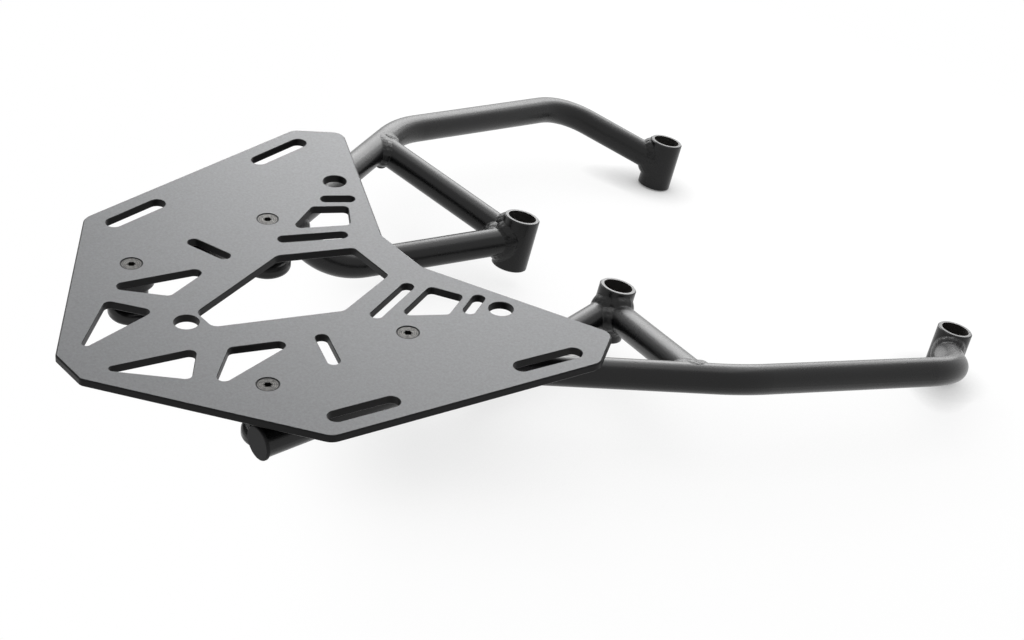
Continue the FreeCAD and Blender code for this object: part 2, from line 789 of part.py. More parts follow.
def check_and_write(pieces):
    for item in doc.Objects:
        if "Invalid" in item.State or "Error" in item.State:
            raise RuntimeError(f"{item.Name} failed: {item.State}")
    for piece in pieces:
        shape = piece.Shape
        if shape.isNull() or not shape.isValid() or not shape.Solids:
            raise RuntimeError(f"{piece.Label} has no valid solid")
        shape.exportStep(os.path.join("parts", f"{piece.Label}.step"))
        print(piece.Label, len(shape.Solids), "solid", round(shape.Volume / 1000, 2), "cm3")


fill_sheet()
check_and_write(build())
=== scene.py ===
# %% [markdown]
# # A top case rack
# The real thing is a cut plate screwed to a welded frame of bent steel tube. A case stands on
# the plate, and four open bushes bolt the frame to a motorbike. The solids come ready made, so
# this lesson loads them, then adds what solids lack: the weld beads, the coats and the light.

# %% Load the rack
import math

import bpy
import numpy as np
from mathutils import Matrix, Vector


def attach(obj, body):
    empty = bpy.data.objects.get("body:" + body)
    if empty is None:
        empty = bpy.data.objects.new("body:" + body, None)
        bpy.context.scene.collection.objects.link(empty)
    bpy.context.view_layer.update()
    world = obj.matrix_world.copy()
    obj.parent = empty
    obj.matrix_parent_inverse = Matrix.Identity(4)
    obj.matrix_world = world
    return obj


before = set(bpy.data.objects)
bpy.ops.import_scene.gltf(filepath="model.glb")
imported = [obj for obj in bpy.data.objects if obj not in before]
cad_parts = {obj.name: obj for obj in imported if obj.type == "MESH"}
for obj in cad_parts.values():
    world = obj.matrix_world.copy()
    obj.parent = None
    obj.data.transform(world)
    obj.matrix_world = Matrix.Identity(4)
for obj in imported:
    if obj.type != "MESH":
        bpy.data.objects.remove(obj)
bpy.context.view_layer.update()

# %% [markdown]
# ## Where things are
# The rack was drawn with its plate level and in millimetres, and then tipped so that it stands
# on its rear standoffs and outer bushes. The welds and the camera are easiest to give in the
# level drawing, so one small function carries points from the drawing to the floor. An empty
# as a parent would do it too, but every piece here keeps its place in its mesh. The middles of
# the right-hand bushes and the screws' places are used by the coats and by the welds.

# %% From the level drawing to the floor
TIP = math.radians(11.251364)
SHIFT_MM = np.array([0.0, -263.1749, 37.2802])


def stand(points):
    """Turns level points about X by the tip angle, shifts them, and gives metres."""
    level = np.asarray(points, float)
    across, along, up = level[..., 0], level[..., 1], level[..., 2]
    tipped = np.stack([
        across,
        along * math.cos(TIP) - up * math.sin(TIP),
        along * math.sin(TIP) + up * math.cos(TIP),
    ], axis=-1)
    return (tipped + SHIFT_MM) / 1000


def unit(vectors):
    """Each vector divided by its length."""
    vectors = np.asarray(vectors, float)
    return vectors / np.linalg.norm(vectors, axis=-1, keepdims=True)


def turned(direction):
    """A level direction as it points on the floor, of length 1."""
    return unit(stand(direction) - stand([0, 0, 0]))


HALF_BUSH = 21.0
plate_up = turned([0, 0, 1])
bush_lean = math.radians(14.0)
bush_up = np.array([0, math.sin(bush_lean), math.cos(bush_lean)])
outer_middle = np.array([173.9, 594.2, -112.8]) - bush_up * HALF_BUSH
inner_middle = np.array([58.0, 336.6, -47.3]) - bush_up * HALF_BUSH
SCREW_X, SCREW_ROWS = 86.5, (119.5, 6.3)
print("plate's up direction", plate_up.round(4), "bushes' direction", turned(bush_up).round(4))

# %% [markdown]
# ## Camera
# A product picture like this is taken with a long lens from well above the floor. A camera can
# be moved by eye until it fits, but measured numbers say it once and for all: the point of
# the plate it looks at, its distance, its two angles about the level plate, and a small roll.
# A focal length in pixels becomes millimetres on a 36 mm sensor.

# %% Place the camera
PICTURE_WIDTH = 1024
SENSOR_MM = 36.0
FOCAL_PIXELS = 2477.136
AIM_MM = np.array([112.5779, 188.8528, 6.0])
DISTANCE_MM = 1702.1124
AZIMUTH, ELEVATION, ROLL = 0.8644817, 0.5856377, 0.0797550

back = np.array([
    math.sin(AZIMUTH) * math.cos(ELEVATION),
    -math.cos(AZIMUTH) * math.cos(ELEVATION),
    math.sin(ELEVATION),
])
level_right = unit(np.cross(-back, [0, 0, 1]))
level_up = np.cross(level_right, -back)
right = math.cos(ROLL) * level_right + math.sin(ROLL) * level_up
up = -math.sin(ROLL) * level_right + math.cos(ROLL) * level_up
eye = stand(AIM_MM + back * DISTANCE_MM)
axes = np.array([turned(direction) for direction in (right, up, back)])

lens = bpy.data.cameras.new("camera")
lens.sensor_width = SENSOR_MM
lens.lens = FOCAL_PIXELS / PICTURE_WIDTH * SENSOR_MM
camera = bpy.data.objects.new("camera", lens)
camera.matrix_world = Matrix.Translation(Vector(eye)) @ Matrix(axes.T.tolist()).to_4x4()
bpy.context.scene.collection.objects.link(camera)
bpy.context.scene.camera = camera
print("camera at", eye.round(3), "lens", round(lens.lens, 2), "mm")

# %% [markdown]
# ## Helpers for materials
# Colours are written as sRGB hex, the way a paint chart gives them, and the shader wants linear
# light, so one function turns them. A second one adds a node with its settings and its links.
# The others start an empty material, turn a grain's width into a noise's scale, and measure how
# far a point is from the axis of a bush or a screw. All patterns are worked out from a point's
# place on the rack. A painted picture would need every tube unrolled, and would hold one size.

# %% Colour and node helpers
MM = 0.001


def linear(hex_colour):
    """sRGB hex to linear: c / 12.92 when dark, otherwise ((c + 0.055) / 1.055) ** 2.4."""
    levels = [int(hex_colour[i:i + 2], 16) / 255 for i in (1, 3, 5)]
    light = [c / 12.92 if c <= 0.04045 else ((c + 0.055) / 1.055) ** 2.4 for c in levels]
    return (*light, 1.0)


def add(tree, kind, settings=None, links=None):
    """Adds one node, sets its sockets (by name or number) and properties, and links into it."""
    node = tree.nodes.new(kind)
    for name, value in (settings or {}).items():
        if isinstance(name, int) or name in node.inputs:
            node.inputs[name].default_value = value
        else:
            setattr(node, name, value)
    for name, source in (links or {}).items():
        tree.links.new(source, node.inputs[name])
    return node


def new_material(name):
    """An empty node material. Returns it and its tree."""
    material = bpy.data.materials.new(name)
    material.use_nodes = True
    material.node_tree.nodes.clear()
    return material, material.node_tree


def per_mm(size_mm):
    """The Scale of a noise, on coordinates in metres, whose grain is this many mm."""
    return 1 / (size_mm * MM)


def reach_from_axes(tree, place, starts, direction):
    """How far a point, with its X made positive, is from the nearer of two axes: |(p - s) x d|."""
    parts = add(tree, "ShaderNodeSeparateXYZ", links={"Vector": place})
    across = add(tree, "ShaderNodeMath", {"operation": "ABSOLUTE"}, {0: parts.outputs["X"]})
    spot = add(tree, "ShaderNodeCombineXYZ", links={
        "X": across.outputs["Value"], "Y": parts.outputs["Y"], "Z": parts.outputs["Z"]})
    reaches = []
    for start in starts:
        offset = add(tree, "ShaderNodeVectorMath", {"operation": "SUBTRACT", 1: stand(start)},
                     {0: spot.outputs["Vector"]})
        cross = add(tree, "ShaderNodeVectorMath",
                    {"operation": "CROSS_PRODUCT", 1: turned(direction)},
                    {0: offset.outputs["Vector"]})
        reach = add(tree, "ShaderNodeVectorMath", {"operation": "LENGTH"},
                    {0: cross.outputs["Vector"]})
        reaches.append(reach.outputs["Value"])
    nearer = add(tree, "ShaderNodeMath", {"operation": "MINIMUM"}, {0: reaches[0], 1: reaches[1]})
    return nearer.outputs["Value"]


print("mid grey is", linear("#808080"), "and a grain of 2 mm has scale", per_mm(2.0))

# %% [markdown]
# ## Satin black powder coat on steel tube
# The frame is mild steel tube, blasted and powder coated. Powder is melted on, so it lies thick
# and even, rounds every edge, and keeps a faint orange peel about a millimetre wide. It is
# almost black, and its satin surface spreads a reflection into a broad soft band. The colour
# hardly varies: what the eye reads is the peel and slightly duller patches. Over a weld the
# same coat lies on rough ground, so its bumps are wider and much higher. In the bushes' bores,
# 11 mm from their axes, the coat is painted grey: partly the steel showing where the coat runs
# thin, and partly painted light, which stands in for the light that gets into the bores.

# %% Powder coat on the tubes
PATCH_MM = 35.0
GREY_TO_MM, BLACK_FROM_MM = 11.2, 11.6


def black_coat(name, grain_mm, depth_mm):
    """Satin black over a bumpy ground: how wide the bumps are, and how high."""
    material, tree = new_material(name)
    place = add(tree, "ShaderNodeTexCoord").outputs["Object"]
    peel = add(tree, "ShaderNodeTexNoise",
               {"Scale": per_mm(grain_mm), "Detail": 3.0, "Roughness": 0.6}, {"Vector": place})
    cloud = add(tree, "ShaderNodeTexNoise", {"Scale": per_mm(PATCH_MM), "Detail": 3.0},
                {"Vector": place})
    tone = add(tree, "ShaderNodeMix",
               {"data_type": "RGBA", "A": linear("#0e0e0f"), "B": linear("#121213")},
               {"Factor": cloud.outputs["Fac"]})
    reach = reach_from_axes(tree, place, (outer_middle, inner_middle), bush_up)
    # Painted light: the bores' walls are painted grey, partly for the thin coat over steel and
    # partly to stand in for the light that gets into them.
    bore_steel_and_painted_light = add(tree, "ShaderNodeMapRange", {
        "From Min": GREY_TO_MM * MM, "From Max": BLACK_FROM_MM * MM, "To Min": 1.0, "To Max": 0.0,
    }, {"Value": reach})
    shade = add(tree, "ShaderNodeMix", {"data_type": "RGBA", "B": linear("#5a5856")},
                {"Factor": bore_steel_and_painted_light.outputs["Result"], "A": tone.outputs["Result"]})
    dull = add(tree, "ShaderNodeMapRange",
               {"From Min": 0.3, "From Max": 0.7, "To Min": 0.25, "To Max": 0.31},
               {"Value": cloud.outputs["Fac"]})
    bump = add(tree, "ShaderNodeBump", {"Strength": 0.5, "Distance": depth_mm * MM},
               {"Height": peel.outputs["Fac"]})
    coat = add(tree, "ShaderNodeBsdfPrincipled", {"Metallic": 0.0, "IOR": 1.37}, {
        "Base Color": shade.outputs["Result"], "Roughness": dull.outputs["Result"],
        "Normal": bump.outputs["Normal"]})
    add(tree, "ShaderNodeOutputMaterial", links={"Surface": coat.outputs["BSDF"]})
    return material


tube_coat = black_coat("powder_coated_steel_satin_black", 1.1, 0.15)
weld_coat = black_coat("powder_coated_weld_satin_black", 2.6, 1.1)
print("made", tube_coat.name, "and", weld_coat.name)

# %% [markdown]
# ## Fine textured coat on the plate
# The plate is laser cut sheet with a finely textured black coat. Its face is painted an even
# mid grey with a faint speckle: the grey is a painted sheen, which stands in for the soft
# reflection of the lamps on the black coat. The cut edges, where the powder runs thin and meets
# the burnt cut, stay near black and dull. Which of the two a point gets is read from the
# direction that its
# surface faces: the plate's two faces point along one known direction and its edges don't, and
# the cosine of the angle to that direction tells them apart. The real grain is about 0.4 mm,
# less than one pixel here, so it is drawn coarser: a noise of 2 mm with finer noises inside it.
# Two materials could be used instead, but then each face of the plate would have to be sorted
# into one of them.

# %% Textured coat on the plate
GRAIN_MM = 2.0
EDGE_COSINE, FACE_COSINE = 0.80, 0.97
plate_coat, tree = new_material("textured_black_powder_coat_painted_sheen")
source = add(tree, "ShaderNodeTexCoord")
place = source.outputs["Object"]
facing = add(tree, "ShaderNodeVectorMath", {"operation": "DOT_PRODUCT", 1: plate_up},
             {0: source.outputs["Normal"]})
flatness = add(tree, "ShaderNodeMath", {"operation": "ABSOLUTE"}, {0: facing.outputs["Value"]})
face = add(tree, "ShaderNodeMapRange", {"From Min": EDGE_COSINE, "From Max": FACE_COSINE},
           {"Value": flatness.outputs["Value"]})
speckle = add(tree, "ShaderNodeTexNoise",
              {"Scale": per_mm(GRAIN_MM), "Detail": 4.0, "Roughness": 0.8}, {"Vector": place})
spots = add(tree, "ShaderNodeMapRange", {"From Min": 0.35, "From Max": 0.65},
            {"Value": speckle.outputs["Fac"]})
# Painted sheen: the face's mid grey stands in for the lamps' soft reflection on the black coat; the
# speckle in it is the coat's grain.
grain = add(tree, "ShaderNodeMix",
            {"data_type": "RGBA", "A": linear("#595b5d"), "B": linear("#67696c")},
            {"Factor": spots.outputs["Result"]})
tone = add(tree, "ShaderNodeMix", {"data_type": "RGBA", "A": linear("#121213")},
           {"Factor": face.outputs["Result"], "B": grain.outputs["Result"]})
bump = add(tree, "ShaderNodeBump", {"Strength": 0.5, "Distance": 0.05 * MM},
           {"Height": speckle.outputs["Fac"]})
gloss = add(tree, "ShaderNodeMapRange", {"To Min": 0.2, "To Max": 0.5},
            {"Value": face.outputs["Result"]})
coat = add(tree, "ShaderNodeBsdfPrincipled", {"Metallic": 0.0, "IOR": 1.45, "Roughness": 0.42}, {
    "Base Color": tone.outputs["Result"], "Normal": bump.outputs["Normal"],
    "Specular IOR Level": gloss.outputs["Result"]})
add(tree, "ShaderNodeOutputMaterial", links={"Surface": coat.outputs["BSDF"]})
print("made", plate_coat.name)

# %% [markdown]
# ## Turned screws
# The screws are steel with a dark zinc finish. Their heads are turned, so rings of the lathe run
# round the screw's axis; the real ones are about 0.2 mm apart, and are drawn coarser, at 1.4 mm.
# The distance to the nearer axis gives the rings, and a painted shadow: the outer band of the
# head, where it dips into its countersink, is painted near black. A sine ring added to a stronger
# mottle gives worn steel: where the sum is high the metal is both darker and duller.

# %% Screw steel
RING_MM, MOTTLE_MM, MOTTLE_WEIGHT = 1.4, 1.8, 8.0
BRIGHT_UNDER, DARK_OVER = 2.2, 5.8
SHADOW_RIM_FROM_MM, SHADOW_RIM_TO_MM = 6.7, 7.0
screw_steel, tree = new_material("dark_zinc_plated_steel")
place = add(tree, "ShaderNodeTexCoord").outputs["Object"]
mottle = add(tree, "ShaderNodeTexNoise",
             {"Scale": per_mm(MOTTLE_MM), "Detail": 3.0, "Roughness": 0.7}, {"Vector": place})
screw_axes = [(SCREW_X, screw_y, 0) for screw_y in SCREW_ROWS]
reach = reach_from_axes(tree, place, screw_axes, (0, 0, 1))
wave = add(tree, "ShaderNodeMath", {"operation": "MULTIPLY", 1: 2 * math.pi / (RING_MM * MM)},
           {0: reach})
ring = add(tree, "ShaderNodeMath", {"operation": "SINE"}, {0: wave.outputs["Value"]})
mixed = add(tree, "ShaderNodeMath", {"operation": "MULTIPLY_ADD", 1: MOTTLE_WEIGHT},
            {0: mottle.outputs["Fac"], 2: ring.outputs["Value"]})
worn = add(tree, "ShaderNodeMapRange", {
    "From Min": BRIGHT_UNDER, "From Max": DARK_OVER, "To Min": 0.3, "To Max": 0.55,
}, {"Value": mixed.outputs["Value"]})
dark = add(tree, "ShaderNodeMapRange", {"From Min": BRIGHT_UNDER, "From Max": DARK_OVER},
           {"Value": mixed.outputs["Value"]})
tone = add(tree, "ShaderNodeMix",
           {"data_type": "RGBA", "A": linear("#504f4d"), "B": linear("#111111")},
           {"Factor": dark.outputs["Result"]})
# Painted shadow: past 7 mm from the axis the head is painted near black, where it dips into the
# countersink.
rim = add(tree, "ShaderNodeMapRange", {"From Min": SHADOW_RIM_FROM_MM * MM, "From Max": SHADOW_RIM_TO_MM * MM},
          {"Value": reach})
shade = add(tree, "ShaderNodeMix", {"data_type": "RGBA", "B": linear("#080808")},
            {"Factor": rim.outputs["Result"], "A": tone.outputs["Result"]})
steel = add(tree, "ShaderNodeBsdfPrincipled", {"Metallic": 1.0},
            {"Base Color": shade.outputs["Result"], "Roughness": worn.outputs["Result"]})
add(tree, "ShaderNodeOutputMaterial", links={"Surface": steel.outputs["BSDF"]})
print("made", screw_steel.name)

# %% [markdown]
# ## Moulded plugs
# The plugs in the tube ends are moulded polyethylene: black, matt and smooth, with the faint
# grain of their mould. A matt plastic throws back little light, so its specular level is low.

# %% Plug plastic
MOULD_MM = 0.9
plug_plastic, tree = new_material("moulded_polyethylene_black")
place = add(tree, "ShaderNodeTexCoord").outputs["Object"]
mould = add(tree, "ShaderNodeTexNoise", {"Scale": per_mm(MOULD_MM), "Detail": 2.0},
            {"Vector": place})
bump = add(tree, "ShaderNodeBump", {"Strength": 0.2, "Distance": 0.02 * MM},
           {"Height": mould.outputs["Fac"]})
tone = add(tree, "ShaderNodeMix",
           {"data_type": "RGBA", "A": linear("#1b1b1c"), "B": linear("#232324")},
           {"Factor": mould.outputs["Fac"]})
plastic = add(tree, "ShaderNodeBsdfPrincipled",
              {"Roughness": 0.65, "IOR": 1.51, "Specular IOR Level": 0.25},
              {"Base Color": tone.outputs["Result"], "Normal": bump.outputs["Normal"]})
add(tree, "ShaderNodeOutputMaterial", links={"Surface": plastic.outputs["BSDF"]})
print("made", plug_plastic.name)

# %% [markdown]
# ## Which solid gets which finish
# The solids keep the names of the drawing, so a name tells the finish: the plate, the screws and
# the plugs have their own, and all the rest is the black frame. A loop over the names can't
# forget a piece, as a hand that picks them one by one can.

# %% Give each solid its finish
for name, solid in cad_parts.items():
    if name == "top_plate":
        finish = plate_coat
    elif name == "plate_screws":
        finish = screw_steel
    elif name.startswith("tube_plug"):
        finish = plug_plastic
    else:
        finish = tube_coat
    solid.data.materials.clear()
    solid.data.materials.append(finish)
print("finished", len(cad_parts), "solids")

# %% [markdown]
# ## Weld beads
# Where a tube meets another, the welder runs a bead all round the joint. A bead is a bar of
# metal in the corner between two skins: its feet lie on both, its face bulges a little, and its
# width swells with each step of the torch. The powder coat then rounds it over, so only soft
# waves are left. One function can make them all. It needs the line on which the skins meet, and
# the round bars they belong to, and works across that line.

# %% Round bars as the nearest point of a middle line
TUBE, BUSH, NECK = 11.0, 14.0, 11.5


def straight_bar(start, direction, radius):
    """A bar on a line: the foot of a point is start + ((point - start) . d) d."""
    start, direction = np.asarray(start, float), unit(direction)

    def middle(points):
        along = ((points - start) @ direction)[..., None]
        return start + along * direction

    return middle, radius


def bent_bar(centre, normal, bend, radius):
    """A bar on a circle: drop a point to the circle's plane, then go out from the centre."""
    centre, normal = np.asarray(centre, float), unit(normal)

    def middle(points):
        level = (points - centre) - ((points - centre) @ normal)[..., None] * normal
        return centre + bend * unit(level)

    return middle, radius


def skin_gap(points, bars):
    """How far each point is outside the nearest skin, the way out of it, and its point there.

    With the foot on a bar's middle line, out = point - foot. The gap is |out| - radius, the
    normal is out / |out|, and the skin's own point is foot + normal * radius.
    """
    gaps, normals, skins = [], [], []
    for middle, radius in bars:
        foot = middle(points)
        out = points - foot
        gaps.append(np.linalg.norm(out, axis=-1) - radius)
        normals.append(unit(out))
        skins.append(foot + normals[-1] * radius)
    nearest = np.argmin(gaps, axis=0)
    pick = (nearest, np.arange(len(nearest)))
    return np.array(gaps)[pick], np.array(normals)[pick], np.array(skins)[pick]


test_gap = skin_gap(np.array([[20.0, 0, 0]]), [straight_bar([0, 0, 0], [0, 0, 1], TUBE)])[0]
print("a point 20 mm from a tube's middle line is", test_gap, "mm outside its skin")

# %% [markdown]
# ## The line of a joint
# The line on which two skins meet has no simple formula once one of them is bent. So points
# walk out from inside the metal, each along its own path, and the place where each one comes
# out is found by halving: a step that is still inside becomes the new start, and a step that is
# outside becomes the new end.

# %% The line on which two skins meet
HALVINGS = 40
PAST_ANY_BAR = 70.0
END_STEPS = 96
ODD_DIRECTION = [0.3, 0.2, 1.0]


def leaving_line(path, bars, reach):
    """Halves the step along each path again and again, down to where it comes out of the bars."""
    inside = np.zeros(len(path(0.0)))
    outside = np.full(len(inside), float(reach))
    for _ in range(HALVINGS):
        step = (inside + outside) / 2
        is_out = skin_gap(path(step[:, None]), bars)[0] > 0
        outside, inside = np.where(is_out, step, outside), np.where(is_out, inside, step)
    return path(((inside + outside) / 2)[:, None])


def end_line(start, direction, bars):
    """Where a tube's straight skin lines, going out from its end, leave what it stands on.

    The lines start from a circle: start + radius * (cos t * side + sin t * (direction x side)).
    The side is square to the direction and to an odd direction that no tube has.
    """
    direction = unit(direction)
    side = unit(np.cross(direction, ODD_DIRECTION))
    turn = np.linspace(0, 2 * math.pi, END_STEPS, endpoint=False)[:, None]
    spokes = np.cos(turn) * side + np.sin(turn) * np.cross(direction, side)
    rim = np.asarray(start) + TUBE * spokes
    return leaving_line(lambda step: rim + step * direction, bars, PAST_ANY_BAR)


test_line = end_line([0, 0, 0], [1, 0, 0], [straight_bar([0, 0, 0], [0, 0, 1], BUSH)])
print("a tube on a bush leaves it from", test_line[:, 0].min().round(2), "mm out to",
      test_line[:, 0].max().round(2))

# %% [markdown]
# ## A bead's section
# A curve with a round bevel would be quick, but it would lie in the corner like a cord. So the
# bead's section is worked out at each point of the line, from the two skins there.

# %% A bead's section at each point of the line
FACE_POINTS = 13
FOOT_SUNK = 0.1
FACE_LEAN = 0.4
ROOT_DEPTH = 1.2
RIPPLE_MM, FEWEST_RIPPLES, RIPPLE_SHARE = 3.2, 8, 0.035
SWELLS, SWELL_SHARE, SWELL_START = 3, 0.06, 0.8


def bead_sections(line, own, others, width, bulge):
    """The sections of a bead, in millimetres: rows across it, columns along the line.

    Across the line, one foot lies on each skin, the bead's width away. The face is a curve led
    by five points: foot A, a point on the way from A to the line, the crown, a point on the way
    from the line to B, and foot B, so it leaves both skins smoothly. At s, from 0 to 1 across
    the face, it is the sum of point k * comb(4, k) * (1 - s) ** (4 - k) * s ** k. The crown is
    the feet's middle pushed out by the bulge, and the last row, the root, dips inside the metal,
    so that no gap shows. The width swells and narrows a little, as a hand-held torch leaves it:
    width * (1 + ripple * sin(n t) + swell * sin(3 t + start)).
    """
    own_normal = skin_gap(line, [own])[1]
    other_normal = skin_gap(line, others)[1]
    along = unit(np.roll(line, -1, axis=0) - np.roll(line, 1, axis=0))
    first = unit(np.cross(own_normal, along))
    second = unit(np.cross(along, other_normal))
    first *= np.sign(np.sum(first * other_normal))
    second *= np.sign(np.sum(second * own_normal))
    outward = unit(own_normal + other_normal)

    length = np.cumsum(np.linalg.norm(line - np.roll(line, 1, axis=0), axis=1))
    turn = 2 * math.pi * length[:, None] / length[-1]
    ripples = max(FEWEST_RIPPLES, round(length[-1] / RIPPLE_MM))
    ripple = RIPPLE_SHARE * np.sin(ripples * turn)
    swell = SWELL_SHARE * np.sin(SWELLS * turn + SWELL_START)
    spread = width * (1 + ripple + swell)
    _, normal_a, skin_a = skin_gap(line + first * spread, [own])
    _, normal_b, skin_b = skin_gap(line + second * spread, others)
    a = skin_a - normal_a * FOOT_SUNK
    b = skin_b - normal_b * FOOT_SUNK
    crown = (a + b) / 2 + outward * spread * bulge
    controls = (a, a + FACE_LEAN * (line - a), crown, b + FACE_LEAN * (line - b), b)
    s = np.linspace(0, 1, FACE_POINTS)[:, None, None]
    face = sum(
        math.comb(4, k) * (1 - s) ** (4 - k) * s ** k * control
        for k, control in enumerate(controls)
    )
    root = (line - outward * ROOT_DEPTH)[None]
    return np.concatenate([face, root])


print("a bead has", FACE_POINTS, "points across its face and one for its root")

# %% [markdown]
# ## The ring
# The sections are joined into a closed ring. Its grid has no end in either way, so there are no
# caps to close. Its volume tells whether the faces point outwards. The left-hand ring is the
# right-hand one with X turned round, worked out in the mesh and not with a negative scale.

# %% A closed ring from the sections
def signed_volume(points, quads):
    """Each quad as two triangles, summed as a . (b x c) / 6: above 0 if the faces point out."""
    total = 0.0
    for corners in ([0, 1, 2], [0, 2, 3]):
        a, b, c = points[quads[:, corners]].transpose(1, 0, 2)
        total += np.sum(a * np.cross(b, c))
    return total / 6


def weld_bead(name, sections, mirror):
    """Joins each point to its neighbours, along the line and across it, and closes both ways."""
    rows, around = sections.shape[:2]
    points = stand(sections.transpose(1, 0, 2).reshape(-1, 3))
    if mirror:
        points = points * np.array([-1.0, 1.0, 1.0])
    column, row = np.meshgrid(np.arange(around), np.arange(rows), indexing="ij")
    next_column, next_row = (column + 1) % around, (row + 1) % rows
    quads = np.stack([
        column * rows + row,
        next_column * rows + row,
        next_column * rows + next_row,
        column * rows + next_row,
    ], axis=-1).reshape(-1, 4)
    volume = signed_volume(points, quads)
    if volume < 0:
        quads = quads[:, ::-1]
    mesh = bpy.data.meshes.new(name)
    mesh.from_pydata(points.tolist(), [], quads.tolist())
    mesh.polygons.foreach_set("use_smooth", np.ones(len(quads), bool))

    # The edges along both feet stay sharp, where the bead goes into the skins.
    ends = np.empty(2 * len(mesh.edges), int)
    mesh.edges.foreach_get("vertices", ends)
    end_rows = ends.reshape(-1, 2) % rows
    along_a_row = end_rows[:, 0] == end_rows[:, 1]
    at_a_foot = np.isin(end_rows[:, 0], (0, FACE_POINTS - 1))
    mesh.edges.foreach_set("use_edge_sharp", along_a_row & at_a_foot)
    mesh.materials.append(weld_coat)
    piece = bpy.data.objects.new(name, mesh)
    bpy.context.scene.collection.objects.link(piece)
    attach(piece, "root")
    print(name, len(quads), "faces", round(abs(volume) / MM ** 3), "mm3")


def weld_pair(name, line, own, others, width, bulge):
    """The bead on the right, and the same ring with X turned round on the left."""
    sections = bead_sections(line, own, others, width, bulge)
    weld_bead(f"{name}_right", sections, mirror=False)
    weld_bead(f"{name}_left", sections, mirror=True)


# %% [markdown]
# ## Where the joints are
# These are the places of the drawing: the bushes, the bends and the tubes between them, on the
# right-hand side. They could be read from the solids, but the drawing's numbers are shorter and
# exact. The inner tube ends on the main tube's first bend, so that bend is a bar on a circle.
# Its centre lies on the line that halves the corner between the two runs.

# %% The right-hand bars
BEND_RADIUS = 70
BRACE_SETBACK = 35
INNER_TUBE_RISE = 2.3
first_bend = np.array([108.6, 149.5, -19.6])
second_bend = np.array([207.3, 325.2, -40.1])
third_bend = np.array([237.2, 522.9, -88.6])
inner_bend = np.array([92.2, 183.0, -61.0])
inner_start = inner_middle + bush_up * INNER_TUBE_RISE

into_bend, out_of_bend = np.array([0, -1.0, 0]), unit(second_bend - first_bend)
half_turn = math.acos(into_bend @ out_of_bend) / 2
to_centre = unit(into_bend + out_of_bend)
bend_centre = first_bend + to_centre * BEND_RADIUS / math.sin(half_turn)
bend_middle = bend_centre - to_centre * BEND_RADIUS
brace_end = second_bend - out_of_bend * BRACE_SETBACK

outer_bush = straight_bar(outer_middle, bush_up, BUSH)
inner_bush = straight_bar(inner_middle, bush_up, BUSH)
rail = straight_bar(first_bend, [0, 1, 0], TUBE)
bend_bar = bent_bar(bend_centre, np.cross(into_bend, out_of_bend), BEND_RADIUS, TUBE)
middle_run = straight_bar(first_bend, second_bend - first_bend, TUBE)
last_run = straight_bar(third_bend, outer_middle - third_bend, TUBE)
inner_run = straight_bar(inner_bend, inner_bend - inner_start, TUBE)
up_run = straight_bar(inner_bend, bend_middle - inner_bend, TUBE)
brace = straight_bar(brace_end, inner_middle - brace_end, TUBE)
print("inner tube meets the main tube at", bend_middle.round(1))

# %% [markdown]
# ## Beads at the tube ends
# Each joint has the point that its tube starts from, the way the tube goes, the tube itself,
# what it stands on, and the bead's width in millimetres and bulge as a share of that width.

# %% Weld the tube ends
JOINTS = [
    ("outer_bush_weld", outer_middle, third_bend - outer_middle,
     last_run, [outer_bush], 5.5, 0.32),
    ("inner_bush_weld", inner_start, inner_bend - inner_start,
     inner_run, [inner_bush], 6.0, 0.32),
    ("bend_weld", bend_middle, inner_bend - bend_middle,
     up_run, [bend_bar], 4.5, 0.4),
    ("brace_bush_weld", inner_middle, brace_end - inner_middle,
     brace, [inner_bush, inner_run], 6.5, 0.32),
    ("brace_weld", brace_end, inner_middle - brace_end,
     brace, [middle_run], 5.6, 0.5),
]
for name, start, direction, own, others, width, bulge in JOINTS:
    weld_pair(name, end_line(start, direction, others), own, others, width, bulge)

# %% [markdown]
# ## Beads at the standoffs
# The rail, which is the main tube's first run, bites a little into the neck of each standoff, so
# their skins meet on a small closed ring. Here the paths start from the middle of the bite and
# spread over the rail. Its skin ends at its own radius, so they stop just short of that.

# %% Weld the standoffs
BITE_STEPS = 72
LAST_STEP = TUBE - 0.01
NECK_BEAD_WIDTH, NECK_BEAD_BULGE = 3.0, 0.35


def bite_line(screw_y, bars):
    """Paths over the rail's skin from the bite's middle: y = y0 + r cos t, z = z0 + r sin t."""
    turn = np.linspace(0, 2 * math.pi, BITE_STEPS, endpoint=False)[:, None]

    def path(step):
        along = screw_y + step * np.cos(turn)
        rise = step * np.sin(turn)
        reach = np.sqrt(TUBE ** 2 - rise ** 2)
        return np.concatenate([first_bend[0] - reach, along, first_bend[2] + rise], axis=1)

    return leaving_line(path, bars, LAST_STEP)


for row_name, screw_y in zip(("front", "rear"), SCREW_ROWS):
    neck = straight_bar([SCREW_X, screw_y, 0], [0, 0, 1], NECK)
    weld_pair(f"{row_name}_standoff_weld", bite_line(screw_y, [neck]), rail, [neck],
              NECK_BEAD_WIDTH, NECK_BEAD_BULGE)

# %% [markdown]
# ## A white studio
# The rack stands on a white table in a plain studio. White paper under soft light comes out
# grey, and more light would bleach the rack. So the floor and the room are white by themselves
# for rays that go to the camera, or that a shiny coat or glass sends on. All other rays meet
# ordinary white paper and a dim room, which light the rack from below and from the sides.

# %% Which rays see the studio
WHITE = linear("#ffffff")


def seen_rays(tree):
    """1 for a ray from the camera, a shiny coat or glass, and 0 for a ray that only lights."""
    rays = add(tree, "ShaderNodeLightPath")
    seen = add(tree, "ShaderNodeMath", {"operation": "MAXIMUM"},
               {0: rays.outputs["Is Camera Ray"], 1: rays.outputs["Is Glossy Ray"]})
    seen = add(tree, "ShaderNodeMath", {"operation": "MAXIMUM"},
               {0: seen.outputs["Value"], 1: rays.outputs["Is Transmission Ray"]})
    return seen.outputs["Value"]


